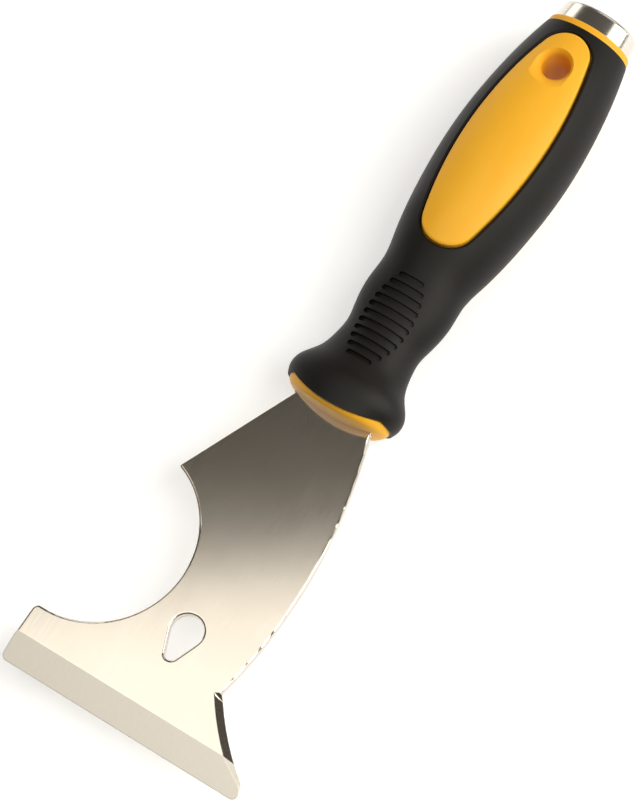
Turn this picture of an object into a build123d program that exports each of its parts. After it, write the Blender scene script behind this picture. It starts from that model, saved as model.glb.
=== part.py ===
"""A painter's multi tool: a stainless scraper blade in a two-part handle with a steel hammer cap.

The tool lies flat, face up. The origin is the centre of the hanging hole, on the middle plane of
the blade. +Y runs along the handle to the hammer cap, and the blade points to -Y. +Z is the face
that carries the ground bevel. Stations along the handle count in millimetres from the bolster
line, where the blade leaves the handle, and are positive towards the cap.
"""

from build123d import *
import math
import os

os.makedirs("parts", exist_ok=True)

# Places along the tool
hole_to_bolster = 97.0  # hanging hole to the line where the blade leaves the handle
hole_to_grip_end = 11.7  # hanging hole to the rear end of the grip
bolster_y = -hole_to_bolster
grip_length = hole_to_bolster + hole_to_grip_end

# Blade, in its own plane, with Y = 0 at the bolster line
blade_thickness = 2.0
blade_reach = 88.2  # bolster line to the scraping edge
blade_left = -33.0
blade_right = 32.8
root_width = 21.0
crescent_radius = 22.9  # cleans a paint roller sleeve
crescent_x = -30.7
crescent_y = -50.55
spike_depth = 28.8  # bolster line to the spike's tip
waist_half_width = 18.3
waist_depth = 44.0
spur_root = (15.9, -69.0)
spur_point = (16.9, -70.3)
toe_inset = 1.6  # the toe's short end leans in by this much
toe_height = 4.1
side_edge_sag = 0.7  # hollow of the side scraping edge
corner_round = 1.5
spike_round = 0.6
toe_round = 1.2
edge_round = 0.55  # rolled front edge left by the blanking die
bevel_height = 7.25
edge_land = 0.3  # steel left at the scraping edge
side_bevel = 1.7

# Nail slot, a teardrop
nail_slot_x = 0.7
nail_slot_depth = 60.9
nail_slot_radius = 4.0
nail_slot_tip_depth = 67.1
nail_slot_tip_radius = 1.7

# Tang, hidden in the handle
shoulder_depth = 3.0  # how far the full root width runs into the bolster
tang_width = 14.0
tenon_width = 9.0
tang_clearance = 0.1  # each side of the tang in the core

# Handle stations: share of the grip length, half width, half thickness
grip_stations = [
    (-0.020, 12.6, 9.8),
    (0.000, 13.2, 10.0),
    (0.022, 14.1, 10.3),
    (0.044, 15.15, 10.6),
    (0.066, 15.1, 10.7),
    (0.112, 11.95, 9.2),
    (0.157, 10.35, 8.4),
    (0.201, 9.95, 8.1),
    (0.232, 10.6, 8.2),
    (0.265, 11.25, 8.45),
    (0.304, 11.45, 8.8),
    (0.355, 11.2, 9.4),
    (0.415, 12.4, 10.7),
    (0.480, 13.75, 12.1),
    (0.565, 14.9, 13.2),
    (0.686, 15.6, 13.75),
    (0.797, 15.0, 13.2),
    (0.890, 13.7, 12.0),
    (0.950, 12.5, 10.6),
    (1.000, 11.2, 9.3),
]
grip_wall = 2.2
grip_front = -0.15  # the grip's front edge at the middle of the face
grip_front_radius = 24.0

# Egg-shaped windows through the grip, and the pads of the core that stand in them
window_half_width = 10.05
window_widest_y = -22.0
window_rear = 31.7  # widest place to the end beside the hanging hole
window_front = 30.1  # widest place to the end beside the thumb ribs
window_side_radius = 98.0
window_lip_round = 0.5
pad_gap = 0.35
pad_proud = 0.3
pad_round = 0.7

# Thumb ribs in the neck
rib_count = 11
rib_pitch = 2.22
rib_centre = 24.0  # station of the middle groove
rib_field_width = 12.4
rib_width = 1.3
rib_depth = 0.8

# Hanging hole
hole_radius = 3.4
hole_flare = 3.0
tang_hole_radius = 5.5

# Bolster collar at the front
bolster_half_width = 13.8
bolster_half_thickness = 9.2
bolster_depth = 6.0
bolster_nose = -0.7
bolster_nose_radius = 39.0
bolster_round = 2.5

# Rear collar and hammer cap, both oval like the grip
collar_half_width = 10.95
collar_half_thickness = 9.1
collar_thickness = 1.7
collar_round = 0.4
cap_half_width = 10.6
cap_half_thickness = 8.5
cap_taper = 0.6  # how much the half width and half thickness drop towards the end
cap_length = 5.2
cap_end_wall = 2.6
cap_side_wall = 2.7
cap_corner = 1.2

# Tang rivets
rivet_stations = (15.0, 39.0)
rivet_radius = 2.0
rivet_head_radius = 3.5
rivet_head_height = 1.2
rivet_sink = 0.4  # below the core's surface

collar_y = hole_to_grip_end
cap_y = collar_y + collar_thickness
cap_end_y = cap_y + cap_length
cap_floor_y = cap_end_y - cap_end_wall
cap_bore_half_width = cap_half_width - cap_side_wall
cap_bore_half_thickness = cap_half_thickness - cap_side_wall
reach = 40.0  # further out than any part of the handle

blade_plane = Plane((0, bolster_y, 0))


def cross_plane(y):
    """A plane across the tool at y, with its normal along the tool."""
    return Plane(origin=(0, y, 0), x_dir=(1, 0, 0), z_dir=(0, 1, 0))


def handle_form(inset):
    """The outer form of the handle, moved in by an inset."""
    with BuildPart() as form:
        for share, half_width, half_thickness in grip_stations:
            with BuildSketch(cross_plane(bolster_y + share * grip_length)):
                Ellipse(half_width - inset, half_thickness - inset)
        loft()
    return form.part


def half_thickness_at(station):
    """The handle's half thickness at a station, between the two stations next to it."""
    share = station / grip_length
    for (low, _, low_z), (high, _, high_z) in zip(grip_stations, grip_stations[1:]):
        if low <= share <= high:
            return low_z + (high_z - low_z) * (share - low) / (high - low)
    raise ValueError("the station is off the handle")


def window_end(end_length, margin):
    """Where the window's end arc meets its side arc, and the end point, from the widest place."""
    half_width = window_half_width - margin
    side_radius = window_side_radius - margin
    length = end_length - margin
    end_radius = (2 * side_radius * half_width - half_width**2 - length**2) / (2 * (side_radius - length))
    side_centre = Vector(half_width - side_radius, 0)
    end_centre = Vector(0, length - end_radius)
    meeting = side_centre + (end_centre - side_centre).normalized() * side_radius
    return meeting.X, meeting.Y, length


def window_prism(margin):
    """A prism of the window's egg shape right through the handle, moved in by a margin."""
    half_width = window_half_width - margin
    rear_x, rear_y, rear_end = window_end(window_rear, margin)
    front_x, front_y, front_end = window_end(window_front, margin)
    with BuildPart() as prism:
        with BuildSketch(Plane((0, window_widest_y, -reach))):
            with BuildLine():
                ThreePointArc((-rear_x, rear_y), (0, rear_end), (rear_x, rear_y))
                ThreePointArc((rear_x, rear_y), (half_width, 0), (front_x, -front_y))
                ThreePointArc((front_x, -front_y), (0, -front_end), (-front_x, -front_y))
                ThreePointArc((-front_x, -front_y), (-half_width, 0), (-rear_x, rear_y))
            make_face()
        extrude(amount=2 * reach)
    return prism.part


def plan_prism(nose, nose_radius, back):
    """A block over the handle's plan, with a round nose and a flat back, both as stations."""
    sag = nose_radius - math.sqrt(nose_radius**2 - (nose_radius / 2) ** 2)
    with BuildPart() as block:
        with BuildSketch(blade_plane.offset(-reach)):
            with BuildLine():
                ThreePointArc(
                    (-nose_radius / 2, nose + sag), (0, nose), (nose_radius / 2, nose + sag)
                )
                Polyline(
                    (nose_radius / 2, nose + sag),
                    (reach, nose + sag),
                    (reach, back),
                    (-reach, back),
                    (-reach, nose + sag),
                    (-nose_radius / 2, nose + sag),
                )
            make_face()
        extrude(amount=2 * reach)
    return block.part


# Side grind: the bevel along the hollow side edge
bevel_drop = blade_thickness - edge_land
toe_point = (blade_right - toe_inset, -blade_reach + toe_height)
side_run = Vector(*toe_point) - Vector(*spur_point)
side_out = Vector(-side_run.Y, side_run.X).normalized()
side_middle = (Vector(*spur_point) + Vector(*toe_point)) / 2 - side_out * side_edge_sag
beyond_toe = Vector(*toe_point) + side_run
beyond_spur = Vector(*spur_point) + Vector(2, 1) * side_run.length / 2
with BuildPart() as side_grind:
    with BuildSketch(blade_plane.offset(blade_thickness / 2 - bevel_drop)) as grind_foot:
        with BuildLine():
            ThreePointArc(spur_point, side_middle, toe_point)
            Polyline(toe_point, beyond_toe, beyond_spur, spur_point)
        make_face()
    with BuildSketch(blade_plane.offset(blade_thickness / 2)):
        add(grind_foot.sketch_local)
        offset(amount=side_bevel, kind=Kind.INTERSECTION)
    loft()

# Blade: one stainless plate with its tang
crescent_corner_y = crescent_y - math.sqrt(crescent_radius**2 - (blade_left - crescent_x) ** 2)
spike_tip = (
    crescent_x + math.sqrt(crescent_radius**2 - (-spike_depth - crescent_y) ** 2),
    -spike_depth,
)
tang_end = grip_length + collar_thickness
tenon_end = tang_end + cap_length
with BuildPart() as blade:
    with BuildSketch(blade_plane.offset(-blade_thickness / 2)):
        with BuildLine():
            Line((-root_width / 2, 0), spike_tip)
            ThreePointArc(
                spike_tip,
                (crescent_x + crescent_radius, crescent_y),
                (blade_left, crescent_corner_y),
            )
            Polyline(
                (blade_left, crescent_corner_y),
                (blade_left, -blade_reach),
                (blade_right, -blade_reach),
                toe_point,
            )
            ThreePointArc(toe_point, side_middle, spur_point)
            Line(spur_point, spur_root)
            ThreePointArc(spur_root, (waist_half_width, -waist_depth), (root_width / 2, 0))
            Line((root_width / 2, 0), (-root_width / 2, 0))
        make_face()
    extrude(amount=blade_thickness)
    for (x, y), radius in (
        (spike_tip, spike_round),
        ((blade_left, crescent_corner_y), corner_round),
        ((blade_left, -blade_reach), corner_round),
        ((blade_right, -blade_reach), corner_round),
        (toe_point, toe_round),
    ):
        upright = blade.edges().filter_by(Axis.Z).sort_by_distance((x, bolster_y + y, 0))[0]
        fillet(upright, radius)
    with BuildSketch(blade_plane.offset(-blade_thickness / 2)):
        with Locations((nail_slot_x, -nail_slot_depth)):
            Circle(nail_slot_radius)
        with Locations((nail_slot_x, -nail_slot_tip_depth)):
            Circle(nail_slot_tip_radius)
        make_hull()
    extrude(amount=blade_thickness, mode=Mode.SUBTRACT)
    front_edges = blade.faces().sort_by(Axis.Z)[-1].edges()
    root_edge = front_edges.sort_by(Axis.Y)[-1]
    fillet(front_edges - ShapeList([root_edge]), edge_round)
    with BuildSketch(blade_plane.offset(-blade_thickness / 2)):
        with Locations((0, shoulder_depth / 2)):
            Rectangle(root_width, shoulder_depth)
        with Locations((0, tang_end / 2)):
            Rectangle(tang_width, tang_end)
        with Locations((0, tenon_end / 2)):
            Rectangle(tenon_width, tenon_end)
        with Locations(*[(0, station) for station in rivet_stations]):
            Circle(rivet_radius, mode=Mode.SUBTRACT)
        with Locations((0, hole_to_bolster)):
            Circle(tang_hole_radius, mode=Mode.SUBTRACT)
    extrude(amount=blade_thickness)
    with BuildSketch(Plane(origin=(-reach, bolster_y, 0), x_dir=(0, 1, 0), z_dir=(1, 0, 0))):
        slope = bevel_drop / bevel_height
        Polygon(
            (bevel_height - blade_reach, blade_thickness / 2),
            (bevel_height - blade_reach, blade_thickness),
            (-blade_reach - 1, blade_thickness),
            (-blade_reach - 1, blade_thickness / 2 - slope * (bevel_height + 1)),
            align=None,
        )
    extrude(amount=2 * reach, mode=Mode.SUBTRACT)
    add(side_grind.part, mode=Mode.SUBTRACT)
blade.part.label = "blade"
export_step(blade.part, "parts/blade.step")

# Bolster: the collar that closes the front of the handle round the blade
with BuildPart() as front_bolster:
    with BuildSketch(cross_plane(bolster_y - reach)):
        Ellipse(bolster_half_width, bolster_half_thickness)
    extrude(amount=2 * reach)
    add(plan_prism(bolster_nose, bolster_nose_radius, bolster_depth), mode=Mode.INTERSECT)
    nose_face = front_bolster.faces().sort_by(Axis.Y)[0]
    fillet(nose_face.edges(), bolster_round)
    add(blade.part, mode=Mode.SUBTRACT)
front_bolster.part.label = "front_bolster"
export_step(front_bolster.part, "parts/front_bolster.step")

# Rivets through the tang, with heads sunk flush in the core
rivet_tops = [half_thickness_at(station) - grip_wall - rivet_sink for station in rivet_stations]
with BuildPart() as core_rivets:
    for station, top in zip(rivet_stations, rivet_tops):
        with Locations((0, bolster_y + station, 0)):
            Cylinder(rivet_radius, 2 * (top - rivet_head_height))
        for side in (-1, 1):
            with Locations((0, bolster_y + station, side * (top - rivet_head_height))):
                Cylinder(
                    rivet_head_radius,
                    rivet_head_height / 2,
                    align=(Align.CENTER, Align.CENTER, Align.MIN if side > 0 else Align.MAX),
                )
core_rivets.part.label = "core_rivets"
export_step(core_rivets.part, "parts/core_rivets.step")

# Hanging hole with its flared mouths
mouth_z = half_thickness_at(hole_to_bolster) + pad_proud
mouth_radius = hole_radius + hole_flare
with BuildPart() as hanging_bore:
    with BuildSketch(Plane.XZ):
        with BuildLine():
            Polyline((0, 0), (hole_radius, 0), (hole_radius, mouth_z - hole_flare))
            RadiusArc((hole_radius, mouth_z - hole_flare), (mouth_radius, mouth_z), hole_flare)
            Polyline((mouth_radius, mouth_z), (mouth_radius, reach), (0, reach), (0, 0))
        make_face()
        mirror(about=Plane.XZ)
    revolve(axis=Axis.Z)

# The pocket in the core that takes the tang, with a boss round the hanging hole
with BuildPart() as tang_pocket:
    with BuildSketch(blade_plane.offset(-blade_thickness / 2)):
        with Locations((0, tang_end / 2)):
            Rectangle(tang_width + 2 * tang_clearance, tang_end)
        with Locations((0, hole_to_bolster)):
            Circle(tang_hole_radius - tang_clearance, mode=Mode.SUBTRACT)
    extrude(amount=blade_thickness)

# Core: the hard handle, whole at first, with a pad in each window
with BuildPart() as core_body:
    add(handle_form(grip_wall))
    split(bisect_by=cross_plane(bolster_y + bolster_depth), keep=Keep.TOP)

with BuildPart() as core_pads:
    add(window_prism(pad_gap))
    add(handle_form(-pad_proud), mode=Mode.INTERSECT)
    fillet(core_pads.edges().filter_by(Axis.Z, reverse=True), pad_round)

with BuildPart() as core_whole:
    add(core_body.part)
    add(core_pads.part)
    add(hanging_bore.part, mode=Mode.SUBTRACT)
    add(tang_pocket.part, mode=Mode.SUBTRACT)
    add(core_rivets.part, mode=Mode.SUBTRACT)

# The core's two halves meet on the middle plane
with BuildPart() as core_front:
    add(core_whole.part)
    split(bisect_by=Plane.XY, keep=Keep.TOP)
core_front.part.label = "core_front"
export_step(core_front.part, "parts/core_front.step")

with BuildPart() as core_back:
    add(core_whole.part)
    split(bisect_by=Plane.XY, keep=Keep.BOTTOM)
core_back.part.label = "core_back"
export_step(core_back.part, "parts/core_back.step")

# Thumb ribs: grooves in both faces whose lengths follow an oval
rib_field_length = rib_pitch * (rib_count + 1)
with BuildPart() as rib_grooves:
    with BuildSketch(blade_plane.offset(-reach)):
        for rib in range(rib_count):
            offset_along = (rib - (rib_count - 1) / 2) * rib_pitch
            share = 2 * offset_along / rib_field_length
            with Locations((0, rib_centre + offset_along)):
                SlotOverall(rib_field_width * math.sqrt(1 - share**2), rib_width)
    extrude(amount=2 * reach)
    add(handle_form(rib_depth), mode=Mode.SUBTRACT)

# Grip: the soft sleeve moulded over the core and the bolster
with BuildPart() as grip_sleeve:
    add(handle_form(0))
    add(window_prism(0), mode=Mode.SUBTRACT)
    fillet(grip_sleeve.edges(Select.LAST).filter_by(Axis.Z, reverse=True), window_lip_round)
    add(plan_prism(grip_front, grip_front_radius, grip_length), mode=Mode.INTERSECT)
    add(core_body.part, mode=Mode.SUBTRACT)
    with BuildSketch(cross_plane(bolster_y - reach)):
        Ellipse(bolster_half_width, bolster_half_thickness)
    extrude(amount=reach + bolster_depth, mode=Mode.SUBTRACT)
    add(rib_grooves.part, mode=Mode.SUBTRACT)
grip_sleeve.part.label = "grip_sleeve"
export_step(grip_sleeve.part, "parts/grip_sleeve.step")

# Rear collar: a ring with a boss that centres the cap
with BuildPart() as rear_collar:
    with BuildSketch(cross_plane(collar_y)):
        Ellipse(collar_half_width, collar_half_thickness)
    extrude(amount=collar_thickness)
    fillet(rear_collar.faces().sort_by(Axis.Y)[-1].edges(), collar_round)
    with BuildSketch(cross_plane(cap_y)):
        Ellipse(cap_bore_half_width, cap_bore_half_thickness)
    extrude(amount=cap_floor_y - cap_y)
    add(blade.part, mode=Mode.SUBTRACT)
rear_collar.part.label = "rear_collar"
export_step(rear_collar.part, "parts/rear_collar.step")

# Hammer cap: a steel cup held by the tang's peened tenon
with BuildPart() as hammer_cap:
    with BuildSketch(cross_plane(cap_y)):
        Ellipse(cap_half_width, cap_half_thickness)
    with BuildSketch(cross_plane(cap_end_y)):
        Ellipse(cap_half_width - cap_taper, cap_half_thickness - cap_taper)
    loft()
    fillet(hammer_cap.faces().sort_by(Axis.Y)[-1].edges(), cap_corner)
    with BuildSketch(cross_plane(cap_y)):
        Ellipse(cap_bore_half_width, cap_bore_half_thickness)
    extrude(amount=cap_floor_y - cap_y, mode=Mode.SUBTRACT)
    add(blade.part, mode=Mode.SUBTRACT)
hammer_cap.part.label = "hammer_cap"
export_step(hammer_cap.part, "parts/hammer_cap.step")
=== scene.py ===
# %% [markdown]
# # A painter's multi tool
# The real thing is a flat stainless blade in a handle of hard yellow plastic with a soft black
# sleeve, and a bright steel cap on the butt for tapping nails. The solid parts come from the CAD
# frame, already in place and at their real size. This lesson gives them their finishes, their light
# and a camera.

# %% Load the frame
import math
import bpy
from mathutils import Matrix, Vector


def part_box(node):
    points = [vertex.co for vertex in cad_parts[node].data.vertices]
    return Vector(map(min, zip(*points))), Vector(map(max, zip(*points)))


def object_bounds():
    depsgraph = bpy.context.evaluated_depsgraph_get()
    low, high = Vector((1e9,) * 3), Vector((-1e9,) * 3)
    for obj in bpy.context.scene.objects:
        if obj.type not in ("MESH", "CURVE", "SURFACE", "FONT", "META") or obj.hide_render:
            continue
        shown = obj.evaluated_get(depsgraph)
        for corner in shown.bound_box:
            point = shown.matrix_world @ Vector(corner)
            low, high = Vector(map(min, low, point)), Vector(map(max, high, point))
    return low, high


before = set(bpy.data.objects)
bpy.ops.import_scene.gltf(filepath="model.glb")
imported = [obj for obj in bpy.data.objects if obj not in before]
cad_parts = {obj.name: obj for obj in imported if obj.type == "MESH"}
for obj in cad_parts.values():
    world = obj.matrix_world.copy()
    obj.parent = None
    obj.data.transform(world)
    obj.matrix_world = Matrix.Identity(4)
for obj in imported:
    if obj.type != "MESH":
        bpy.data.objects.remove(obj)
cad_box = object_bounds()
MM = 0.001
print("nodes:", sorted(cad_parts))
print("whole tool, mm:", [round((high - low) / MM, 1) for low, high in zip(*cad_box)])

# %% [markdown]
# ## Where things are
# Places are counted from the frame's own boxes: the scraping edge is the blade's low end in Y, and
# the cap's rim is its high end. The three lengths below are the tool's own sizes, so they change
# here when they change in CAD.

# %% Places read from the frame
BEVEL_HEIGHT = 7.25 * MM  # scraping edge to the top of the ground bevel
BLADE_REACH = 88.2 * MM  # scraping edge to the bolster line, where the blade leaves the handle
RIM_LENGTH = 1.5 * MM  # the end of the cap that wears

blade_low, blade_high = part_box("blade")
cap_end_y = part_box("hammer_cap")[1].y
edge_y = blade_low.y
bevel_top_y = edge_y + BEVEL_HEIGHT
bolster_y = edge_y + BLADE_REACH
blade_face_z = blade_high.z
rim_y = cap_end_y - RIM_LENGTH
print("scraping edge at", round(edge_y / MM, 1), "bolster at", round(bolster_y / MM, 1))

# %% [markdown]
# ## Colours and nodes
# Paint charts give colours as sRGB hex, but a shader works in linear light, so one function
# converts. One small function adds a node, sets it up and links its inputs. Object coordinates are in
# metres, so a grain that is g wide has a scale of 1 / g.

# %% Helpers
def linear(hex_colour):
    """An sRGB hex colour as linear RGBA."""
    values = [int(hex_colour[i : i + 2], 16) / 255 for i in (1, 3, 5)]
    rgb = [v / 12.92 if v <= 0.04045 else ((v + 0.055) / 1.055) ** 2.4 for v in values]
    return rgb + [1.0]


def add_node(material, kind, settings=None, inputs=None):
    """Adds a node, applies its settings, and fills or links its inputs. Returns the node."""
    node = material.node_tree.nodes.new(kind)
    for name, value in (settings or {}).items():
        setattr(node, name, value)
    for key, value in (inputs or {}).items():
        if isinstance(value, bpy.types.NodeSocket):
            material.node_tree.links.new(value, node.inputs[key])
        else:
            node.inputs[key].default_value = value
    return node


def start_material(name):
    """An empty node material, and the coordinates that its patterns are laid out in."""
    material = bpy.data.materials.new(name)
    material.use_nodes = True
    material.node_tree.nodes.clear()
    return material, add_node(material, "ShaderNodeTexCoord").outputs["Object"]


COLOUR_MIX = {"data_type": "RGBA"}

# %% [markdown]
# ## Blade: satin stainless steel
# The blade is blanked from stainless strip and finished on fine belts along its length. The eye
# gets a soft mirror with faint lengthwise lines. Real belt lines are about 0.05 mm apart. They are
# drawn coarser, at 0.2 mm, so that they show.

# %% Blade steel, the belt-finished face
blade_steel, place = start_material("satin_stainless_steel")
along_blade = add_node(
    blade_steel, "ShaderNodeMapping", inputs={"Vector": place, "Scale": (1, 1 / 60, 1)}
).outputs["Vector"]
belt_lines = add_node(
    blade_steel,
    "ShaderNodeTexNoise",
    inputs={"Vector": along_blade, "Scale": 1 / (0.2 * MM), "Detail": 4},
).outputs["Fac"]
handling = add_node(
    blade_steel, "ShaderNodeTexNoise", inputs={"Vector": place, "Scale": 1 / (16 * MM), "Detail": 3}
).outputs["Fac"]
face_colour = add_node(
    blade_steel,
    "ShaderNodeMix",
    COLOUR_MIX,
    {0: handling, 6: linear("#CDC5BA"), 7: linear("#DAD4CA")},
).outputs[2]
face_roughness = add_node(
    blade_steel, "ShaderNodeMapRange", inputs={"Value": belt_lines, "To Min": 0.08, "To Max": 0.15}
).outputs["Result"]
print("face:", len(blade_steel.node_tree.nodes), "nodes so far")

# %% [markdown]
# The bevel is ground last, on a coarser wheel that crosses the edge, so it spreads its reflections
# and looks evenly pale. Its colour is also painted paler than the face's steel, a painted sheen that
# stands in for the lamp it mirrors. Its wheel lines are also drawn coarser than real, at 0.35 mm.
# A mask along the blade's length splits the two finishes where the bevel starts.

# %% Blade steel, the ground bevel
FINISH_BLEND = 0.1 * MM  # how far one finish fades into the other

across_edge = add_node(
    blade_steel, "ShaderNodeMapping", inputs={"Vector": place, "Scale": (1, 1 / 14, 1)}
).outputs["Vector"]
wheel_lines = add_node(
    blade_steel,
    "ShaderNodeTexNoise",
    inputs={"Vector": across_edge, "Scale": 1 / (0.35 * MM), "Detail": 3},
).outputs["Fac"]
spot = add_node(blade_steel, "ShaderNodeSeparateXYZ", inputs={"Vector": place})
on_bevel = add_node(
    blade_steel,
    "ShaderNodeMapRange",
    inputs={
        "Value": spot.outputs["Y"],
        "From Min": bevel_top_y - FINISH_BLEND,
        "From Max": bevel_top_y,
        "To Min": 1,
        "To Max": 0,
    },
).outputs["Result"]
# Painted sheen: the bevel's steel gets a paler colour than the face's, standing in for the lamp it
# mirrors; the wheel lines in it are real grain.
bevel_lines_painted_sheen = add_node(
    blade_steel,
    "ShaderNodeMix",
    COLOUR_MIX,
    {0: wheel_lines, 6: linear("#EAE4D9"), 7: linear("#F6F1E8")},
).outputs[2]
bevel_roughness = add_node(
    blade_steel, "ShaderNodeMapRange", inputs={"Value": wheel_lines, "To Min": 0.38, "To Max": 0.56}
).outputs["Result"]
print("bevel from", round(edge_y / MM, 1), "to", round(bevel_top_y / MM, 1), "mm in Y")

# %% [markdown]
# Blanking rolls the blade's rims over by about a quarter of a millimetre. A bevel node rounds the
# shading there and leaves the mesh alone, which draws a thin dark or bright line round the blade. The
# two finishes are then joined.

# %% Blade steel, put together
steel_colour = add_node(
    blade_steel, "ShaderNodeMix", COLOUR_MIX, {0: on_bevel, 6: face_colour, 7: bevel_lines_painted_sheen}
).outputs[2]
steel_roughness = add_node(
    blade_steel, "ShaderNodeMix", inputs={0: on_bevel, 2: face_roughness, 3: bevel_roughness}
).outputs[0]
steel_lines = add_node(
    blade_steel, "ShaderNodeMix", inputs={0: on_bevel, 2: belt_lines, 3: wheel_lines}
).outputs[0]
rolled_rim = add_node(
    blade_steel, "ShaderNodeBevel", {"samples": 6}, {"Radius": 0.25 * MM}
).outputs["Normal"]
steel_bump = add_node(
    blade_steel,
    "ShaderNodeBump",
    inputs={
        "Strength": 0.06,
        "Distance": 0.02 * MM,
        "Height": steel_lines,
        "Normal": rolled_rim,
    },
).outputs["Normal"]
steel_shader = add_node(
    blade_steel,
    "ShaderNodeBsdfPrincipled",
    inputs={
        "Base Color": steel_colour,
        "Metallic": 1.0,
        "Roughness": steel_roughness,
        "Normal": steel_bump,
    },
)
add_node(blade_steel, "ShaderNodeOutputMaterial", inputs={"Surface": steel_shader.outputs[0]})
print(blade_steel.name, len(blade_steel.node_tree.nodes), "nodes")

# %% [markdown]
# ## Cap: polished steel
# The cap is pressed and polished bright, with faint lines round it, and it picks up scuffs on the
# rim that taps the nails. A low roughness lets the lamps show in it as soft-edged bands.

# %% Cap steel
cap_steel, place = start_material("polished_steel")
round_cap = add_node(
    cap_steel, "ShaderNodeMapping", inputs={"Vector": place, "Scale": (1 / 30, 1, 1 / 30)}
).outputs["Vector"]
polish_lines = add_node(
    cap_steel,
    "ShaderNodeTexNoise",
    inputs={"Vector": round_cap, "Scale": 1 / (0.4 * MM), "Detail": 3},
).outputs["Fac"]
scuffs = add_node(
    cap_steel, "ShaderNodeTexNoise", inputs={"Vector": place, "Scale": 1 / (1.2 * MM), "Detail": 6}
).outputs["Fac"]
cap_spot = add_node(cap_steel, "ShaderNodeSeparateXYZ", inputs={"Vector": place})
near_rim = add_node(
    cap_steel,
    "ShaderNodeMapRange",
    inputs={"Value": cap_spot.outputs["Y"], "From Min": rim_y, "From Max": cap_end_y},
).outputs["Result"]
rim_wear = add_node(
    cap_steel, "ShaderNodeMath", {"operation": "MULTIPLY"}, {0: near_rim, 1: scuffs}
).outputs[0]
cap_colour = add_node(
    cap_steel,
    "ShaderNodeMix",
    COLOUR_MIX,
    {0: polish_lines, 6: linear("#D6D1C8"), 7: linear("#E4E1DA")},
).outputs[2]
cap_roughness = add_node(
    cap_steel, "ShaderNodeMapRange", inputs={"Value": rim_wear, "To Min": 0.19, "To Max": 0.5}
).outputs["Result"]
cap_bump = add_node(
    cap_steel,
    "ShaderNodeBump",
    inputs={"Strength": 0.08, "Distance": 0.02 * MM, "Height": polish_lines},
).outputs["Normal"]
cap_shader = add_node(
    cap_steel,
    "ShaderNodeBsdfPrincipled",
    inputs={
        "Base Color": cap_colour,
        "Metallic": 1.0,
        "Roughness": cap_roughness,
        "Normal": cap_bump,
    },
)
add_node(cap_steel, "ShaderNodeOutputMaterial", inputs={"Surface": cap_shader.outputs[0]})
print(cap_steel.name, len(cap_steel.node_tree.nodes), "nodes")

# %% [markdown]
# ## Rivets: zinc-plated steel
# The rivets clamp the core round the tang, out of sight. Zinc plate gives a blue-grey metal with a
# fine crystal mottle and a dull shine.

# %% Rivet steel
rivet_steel, place = start_material("zinc_plated_steel")
crystals = add_node(
    rivet_steel, "ShaderNodeTexVoronoi", inputs={"Vector": place, "Scale": 1 / (0.6 * MM)}
).outputs["Distance"]
zinc_colour = add_node(
    rivet_steel,
    "ShaderNodeMix",
    COLOUR_MIX,
    {0: crystals, 6: linear("#AEB2B6"), 7: linear("#C3C6C8")},
).outputs[2]
zinc_roughness = add_node(
    rivet_steel, "ShaderNodeMapRange", inputs={"Value": crystals, "To Min": 0.3, "To Max": 0.45}
).outputs["Result"]
zinc_shader = add_node(
    rivet_steel,
    "ShaderNodeBsdfPrincipled",
    inputs={"Base Color": zinc_colour, "Metallic": 1.0, "Roughness": zinc_roughness},
)
add_node(rivet_steel, "ShaderNodeOutputMaterial", inputs={"Surface": zinc_shader.outputs[0]})
print(rivet_steel.name, len(rivet_steel.node_tree.nodes), "nodes")

# %% [markdown]
# ## Core: moulded yellow polypropylene
# The core is injection moulded in a warm yellow. Its mould is lightly spark-eroded, which gives a
# satin skin with a fine pebble of about 0.3 mm. The melt leaves slow colour clouds along its flow, and
# a little light goes into the plastic, so thin edges glow rather than go grey.

# %% Yellow plastic
yellow_plastic, place = start_material("moulded_yellow_polypropylene")
pebble = add_node(
    yellow_plastic,
    "ShaderNodeTexNoise",
    inputs={"Vector": place, "Scale": 1 / (0.3 * MM), "Detail": 2},
).outputs["Fac"]
along_flow = add_node(
    yellow_plastic, "ShaderNodeMapping", inputs={"Vector": place, "Scale": (1, 1 / 3, 1)}
).outputs["Vector"]
flow = add_node(
    yellow_plastic,
    "ShaderNodeTexNoise",
    inputs={"Vector": along_flow, "Scale": 1 / (8 * MM), "Detail": 3},
).outputs["Fac"]
yellow = add_node(
    yellow_plastic,
    "ShaderNodeMix",
    COLOUR_MIX,
    {0: flow, 6: linear("#F2AE2A"), 7: linear("#F8BC3A")},
).outputs[2]
yellow_roughness = add_node(
    yellow_plastic, "ShaderNodeMapRange", inputs={"Value": pebble, "To Min": 0.3, "To Max": 0.42}
).outputs["Result"]
yellow_bump = add_node(
    yellow_plastic,
    "ShaderNodeBump",
    inputs={"Strength": 0.2, "Distance": 0.02 * MM, "Height": pebble},
).outputs["Normal"]
yellow_shader = add_node(
    yellow_plastic,
    "ShaderNodeBsdfPrincipled",
    inputs={
        "Base Color": yellow,
        "Roughness": yellow_roughness,
        "IOR": 1.49,
        "Specular IOR Level": 0.18,
        "Subsurface Weight": 0.06,
        "Subsurface Radius": (1.0, 0.45, 0.1),
        "Subsurface Scale": 0.6 * MM,
        "Normal": yellow_bump,
    },
)
add_node(yellow_plastic, "ShaderNodeOutputMaterial", inputs={"Surface": yellow_shader.outputs[0]})
print(yellow_plastic.name, len(yellow_plastic.node_tree.nodes), "nodes")

# %% [markdown]
# ## Sleeve: moulded black rubber
# The sleeve is a soft thermoplastic rubber moulded over the core. It is matt with an eroded grain
# of about 0.35 mm, and handling polishes it unevenly, so its brown-black shows shinier and duller
# clouds.

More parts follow.
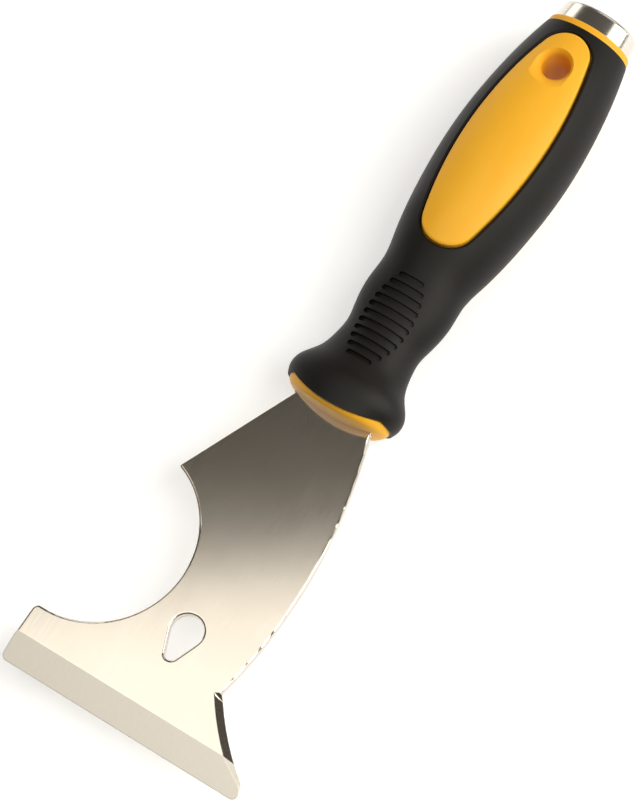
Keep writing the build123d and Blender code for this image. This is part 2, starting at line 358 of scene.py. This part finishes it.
# %% Grip rubber
grip_rubber, place = start_material("moulded_black_thermoplastic_rubber")
grain = add_node(
    grip_rubber,
    "ShaderNodeTexNoise",
    inputs={"Vector": place, "Scale": 1 / (0.35 * MM), "Detail": 3},
).outputs["Fac"]
hand_polish = add_node(
    grip_rubber,
    "ShaderNodeTexNoise",
    inputs={"Vector": place, "Scale": 1 / (11 * MM), "Detail": 3},
).outputs["Fac"]
rubber_colour = add_node(
    grip_rubber,
    "ShaderNodeMix",
    COLOUR_MIX,
    {0: hand_polish, 6: linear("#0C0A08"), 7: linear("#15110E")},
).outputs[2]
rubber_roughness = add_node(
    grip_rubber, "ShaderNodeMapRange", inputs={"Value": hand_polish, "To Min": 0.42, "To Max": 0.6}
).outputs["Result"]
rubber_bump = add_node(
    grip_rubber, "ShaderNodeBump", inputs={"Strength": 0.35, "Distance": 0.04 * MM, "Height": grain}
).outputs["Normal"]
rubber_shader = add_node(
    grip_rubber,
    "ShaderNodeBsdfPrincipled",
    inputs={
        "Base Color": rubber_colour,
        "Roughness": rubber_roughness,
        "IOR": 1.45,
        "Specular IOR Level": 0.3,
        "Normal": rubber_bump,
    },
)
add_node(grip_rubber, "ShaderNodeOutputMaterial", inputs={"Surface": rubber_shader.outputs[0]})
print(grip_rubber.name, len(grip_rubber.node_tree.nodes), "nodes")

# %% [markdown]
# ## Give each part its finish
# The CAD parts already have material slots, so a finish goes on by filling them. The shapes stay as
# they are: nothing is moved and no mesh is touched.

# %% Fill the slots
finishes = {
    "blade": blade_steel,
    "front_bolster": yellow_plastic,
    "core_front": yellow_plastic,
    "core_back": yellow_plastic,
    "core_rivets": rivet_steel,
    "grip_sleeve": grip_rubber,
    "rear_collar": yellow_plastic,
    "hammer_cap": cap_steel,
}
for node_name, finish in finishes.items():
    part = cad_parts[node_name]
    for slot in part.material_slots:
        slot.material = finish
    print(node_name, "is", finish.name, "on", len(part.data.polygons), "faces")

# %% [markdown]
# ## Floor
# The tool lies on a big sheet of pale card. The card glows a little, as translucent card over a
# light box does, which keeps the shadows faint. Its fibre mottle only shifts the white slightly.

# %% Floor
floor_half = 4.0
floor_z = cad_box[0][2]
quarters = [(-1, -1), (1, -1), (1, 1), (-1, 1)]
floor_corners = [(x * floor_half, y * floor_half, floor_z) for x, y in quarters]
floor_mesh = bpy.data.meshes.new("floor")
floor_mesh.from_pydata(floor_corners, [], [range(4)])
floor = bpy.data.objects.new("floor", floor_mesh)
bpy.context.scene.collection.objects.link(floor)
card, place = start_material("pale_translucent_card")
fibres = add_node(
    card, "ShaderNodeTexNoise", inputs={"Vector": place, "Scale": 1 / (2 * MM), "Detail": 2}
).outputs["Fac"]
card_colour = add_node(
    card, "ShaderNodeMix", COLOUR_MIX, {0: fibres, 6: linear("#F3F5F8"), 7: linear("#F8F9FB")}
).outputs[2]
card_shader = add_node(
    card,
    "ShaderNodeBsdfPrincipled",
    inputs={
        "Base Color": card_colour,
        "Roughness": 0.9,
        "Emission Color": (1, 1, 1, 1),
        "Emission Strength": 0.4,
    },
)
add_node(card, "ShaderNodeOutputMaterial", inputs={"Surface": card_shader.outputs[0]})
floor_mesh.materials.append(card)
print("floor", 2 * floor_half, "m wide at", round(floor_z / MM, 1), "mm")

# %% [markdown]
# ## Camera
# The view looks down on the face from 18 degrees to the pointed side and 13.5 degrees to the blade
# end, from a metre away. The long lens keeps the outline nearly free of perspective, and the camera is
# rolled so that the tool crosses the picture from corner to corner. It aims just beside the bolster
# line, a little under halfway from the scraping edge to the cap.

# %% Camera
side_angle = math.radians(18.0)
tip_angle = math.radians(13.5)
roll_angle = math.radians(34.525)
distance = 1.0
aim = Vector((-4.32 * MM, bolster_y + 1.04 * MM, 1.67 * MM))
towards_camera = Vector(
    (
        math.sin(side_angle) * math.cos(tip_angle),
        -math.sin(tip_angle),
        math.cos(side_angle) * math.cos(tip_angle),
    )
)
level = Vector((0, 1, 0)).cross(towards_camera).normalized()
upright = towards_camera.cross(level)
picture_right = level * math.cos(roll_angle) + upright * math.sin(roll_angle)
picture_up = upright * math.cos(roll_angle) - level * math.sin(roll_angle)
lens_data = bpy.data.cameras.new("camera")
lens_data.lens = 195.47
lens_data.sensor_width = 36.0
lens_data.clip_start = 0.05
camera = bpy.data.objects.new("camera", lens_data)
stand = aim + towards_camera * distance
turn = Matrix((picture_right, picture_up, towards_camera)).transposed().to_4x4()
camera.matrix_world = Matrix.Translation(stand) @ turn
bpy.context.scene.collection.objects.link(camera)
bpy.context.scene.camera = camera
print("camera at, mm:", [round(v / MM) for v in stand])

# %% [markdown]
# ## Lamps
# Metal shows what is around it, so each lamp stands where a part should mirror it, or where none
# does. A lamp's brightness is given as its radiance, which is what a mirror shows, and its power
# follows from that and its size.

# %% One function for a soft lamp
LAMP_TINT = linear("#FFFBF2")[:3]


def add_lamp(name, stand, target, size, radiance, side=Vector((0, 0, 1))):
    """A soft rectangular lamp that faces a target, with one edge along a side direction."""
    lamp_data = bpy.data.lights.new(name, "AREA")
    lamp_data.shape = "RECTANGLE"
    lamp_data.size, lamp_data.size_y = size
    lamp_data.color = LAMP_TINT
    lamp_data.energy = radiance * math.pi * size[0] * size[1]
    lamp = bpy.data.objects.new(name, lamp_data)
    back = (Vector(stand) - Vector(target)).normalized()
    across = side.cross(back).normalized()
    turn = Matrix((across, back.cross(across), back)).transposed().to_4x4()
    lamp.matrix_world = Matrix.Translation(stand) @ turn
    bpy.context.scene.collection.objects.link(lamp)
    print(name, "radiance", radiance, "power", round(lamp_data.energy, 2), "W")
    return lamp


# %% [markdown]
# The key lamp is the bright part of the blade's reflection. The line from the camera to the middle
# of the blade bounces up off the face, and the lamp's edge goes where that line meets the lamp's
# height. So the blade's tip mirrors the lamp, and its root mirrors the dark room.

# %% Key lamp
FADE_FROM_BOLSTER = 43.5 * MM  # how far down the blade the lamp's edge is mirrored
fade_point = Vector((2.3 * MM, bolster_y - FADE_FROM_BOLSTER, blade_face_z))
key_height = 0.93
drop = (key_height - fade_point.z) / (stand.z - fade_point.z)
key_edge = fade_point + (fade_point - stand) * drop
key_edge.z = key_height
edge_run = Vector((picture_right.x, picture_right.y, 0)).normalized()
edge_out = Vector((-edge_run.y, edge_run.x, 0))
key_size = (0.75, 0.7)
key_stand = key_edge - edge_out * key_size[1] / 2
add_lamp("key", key_stand, key_stand - Vector((0, 0, 1)), key_size, 1.7, edge_out)

# %% [markdown]
# The banks at each side stand behind the bolster. They light the sleeve and the pad, and the cap
# mirrors them as two white bands. A weak bank at the back fills the faces that point that way. The
# overhead lamp stands to the right, where the blade's flat face doesn't mirror it, and lights the pad.

# %% Side and back banks
middle = Vector((0, 0, 0))
add_lamp("right_bank", (0.98, 0.4, 0.6), middle, (0.9, 0.85), 4.0)
add_lamp("left_bank", (-1.1, 0.45, 0.33), middle, (0.9, 0.5), 1.7)
add_lamp("back_bank", (0.1, 1.3, 0.75), middle, (0.9, 0.6), 1.2)
add_lamp("overhead", (0.62, -0.02, 0.95), middle, (0.6, 0.5), 5.0)

# %% [markdown]
# The room is dim and slightly warm, and it is what the dark parts of the steel mirror. The Standard
# view transform keeps the card white instead of rolling it off to grey.

# %% Room
room = bpy.data.worlds.new("room")
room.use_nodes = True
background = room.node_tree.nodes["Background"]
background.inputs["Color"].default_value = linear("#FFF6E8")
background.inputs["Strength"].default_value = 0.09
bpy.context.scene.world = room
bpy.context.scene.view_settings.view_transform = "Standard"
print("room strength", round(background.inputs["Strength"].default_value, 3))
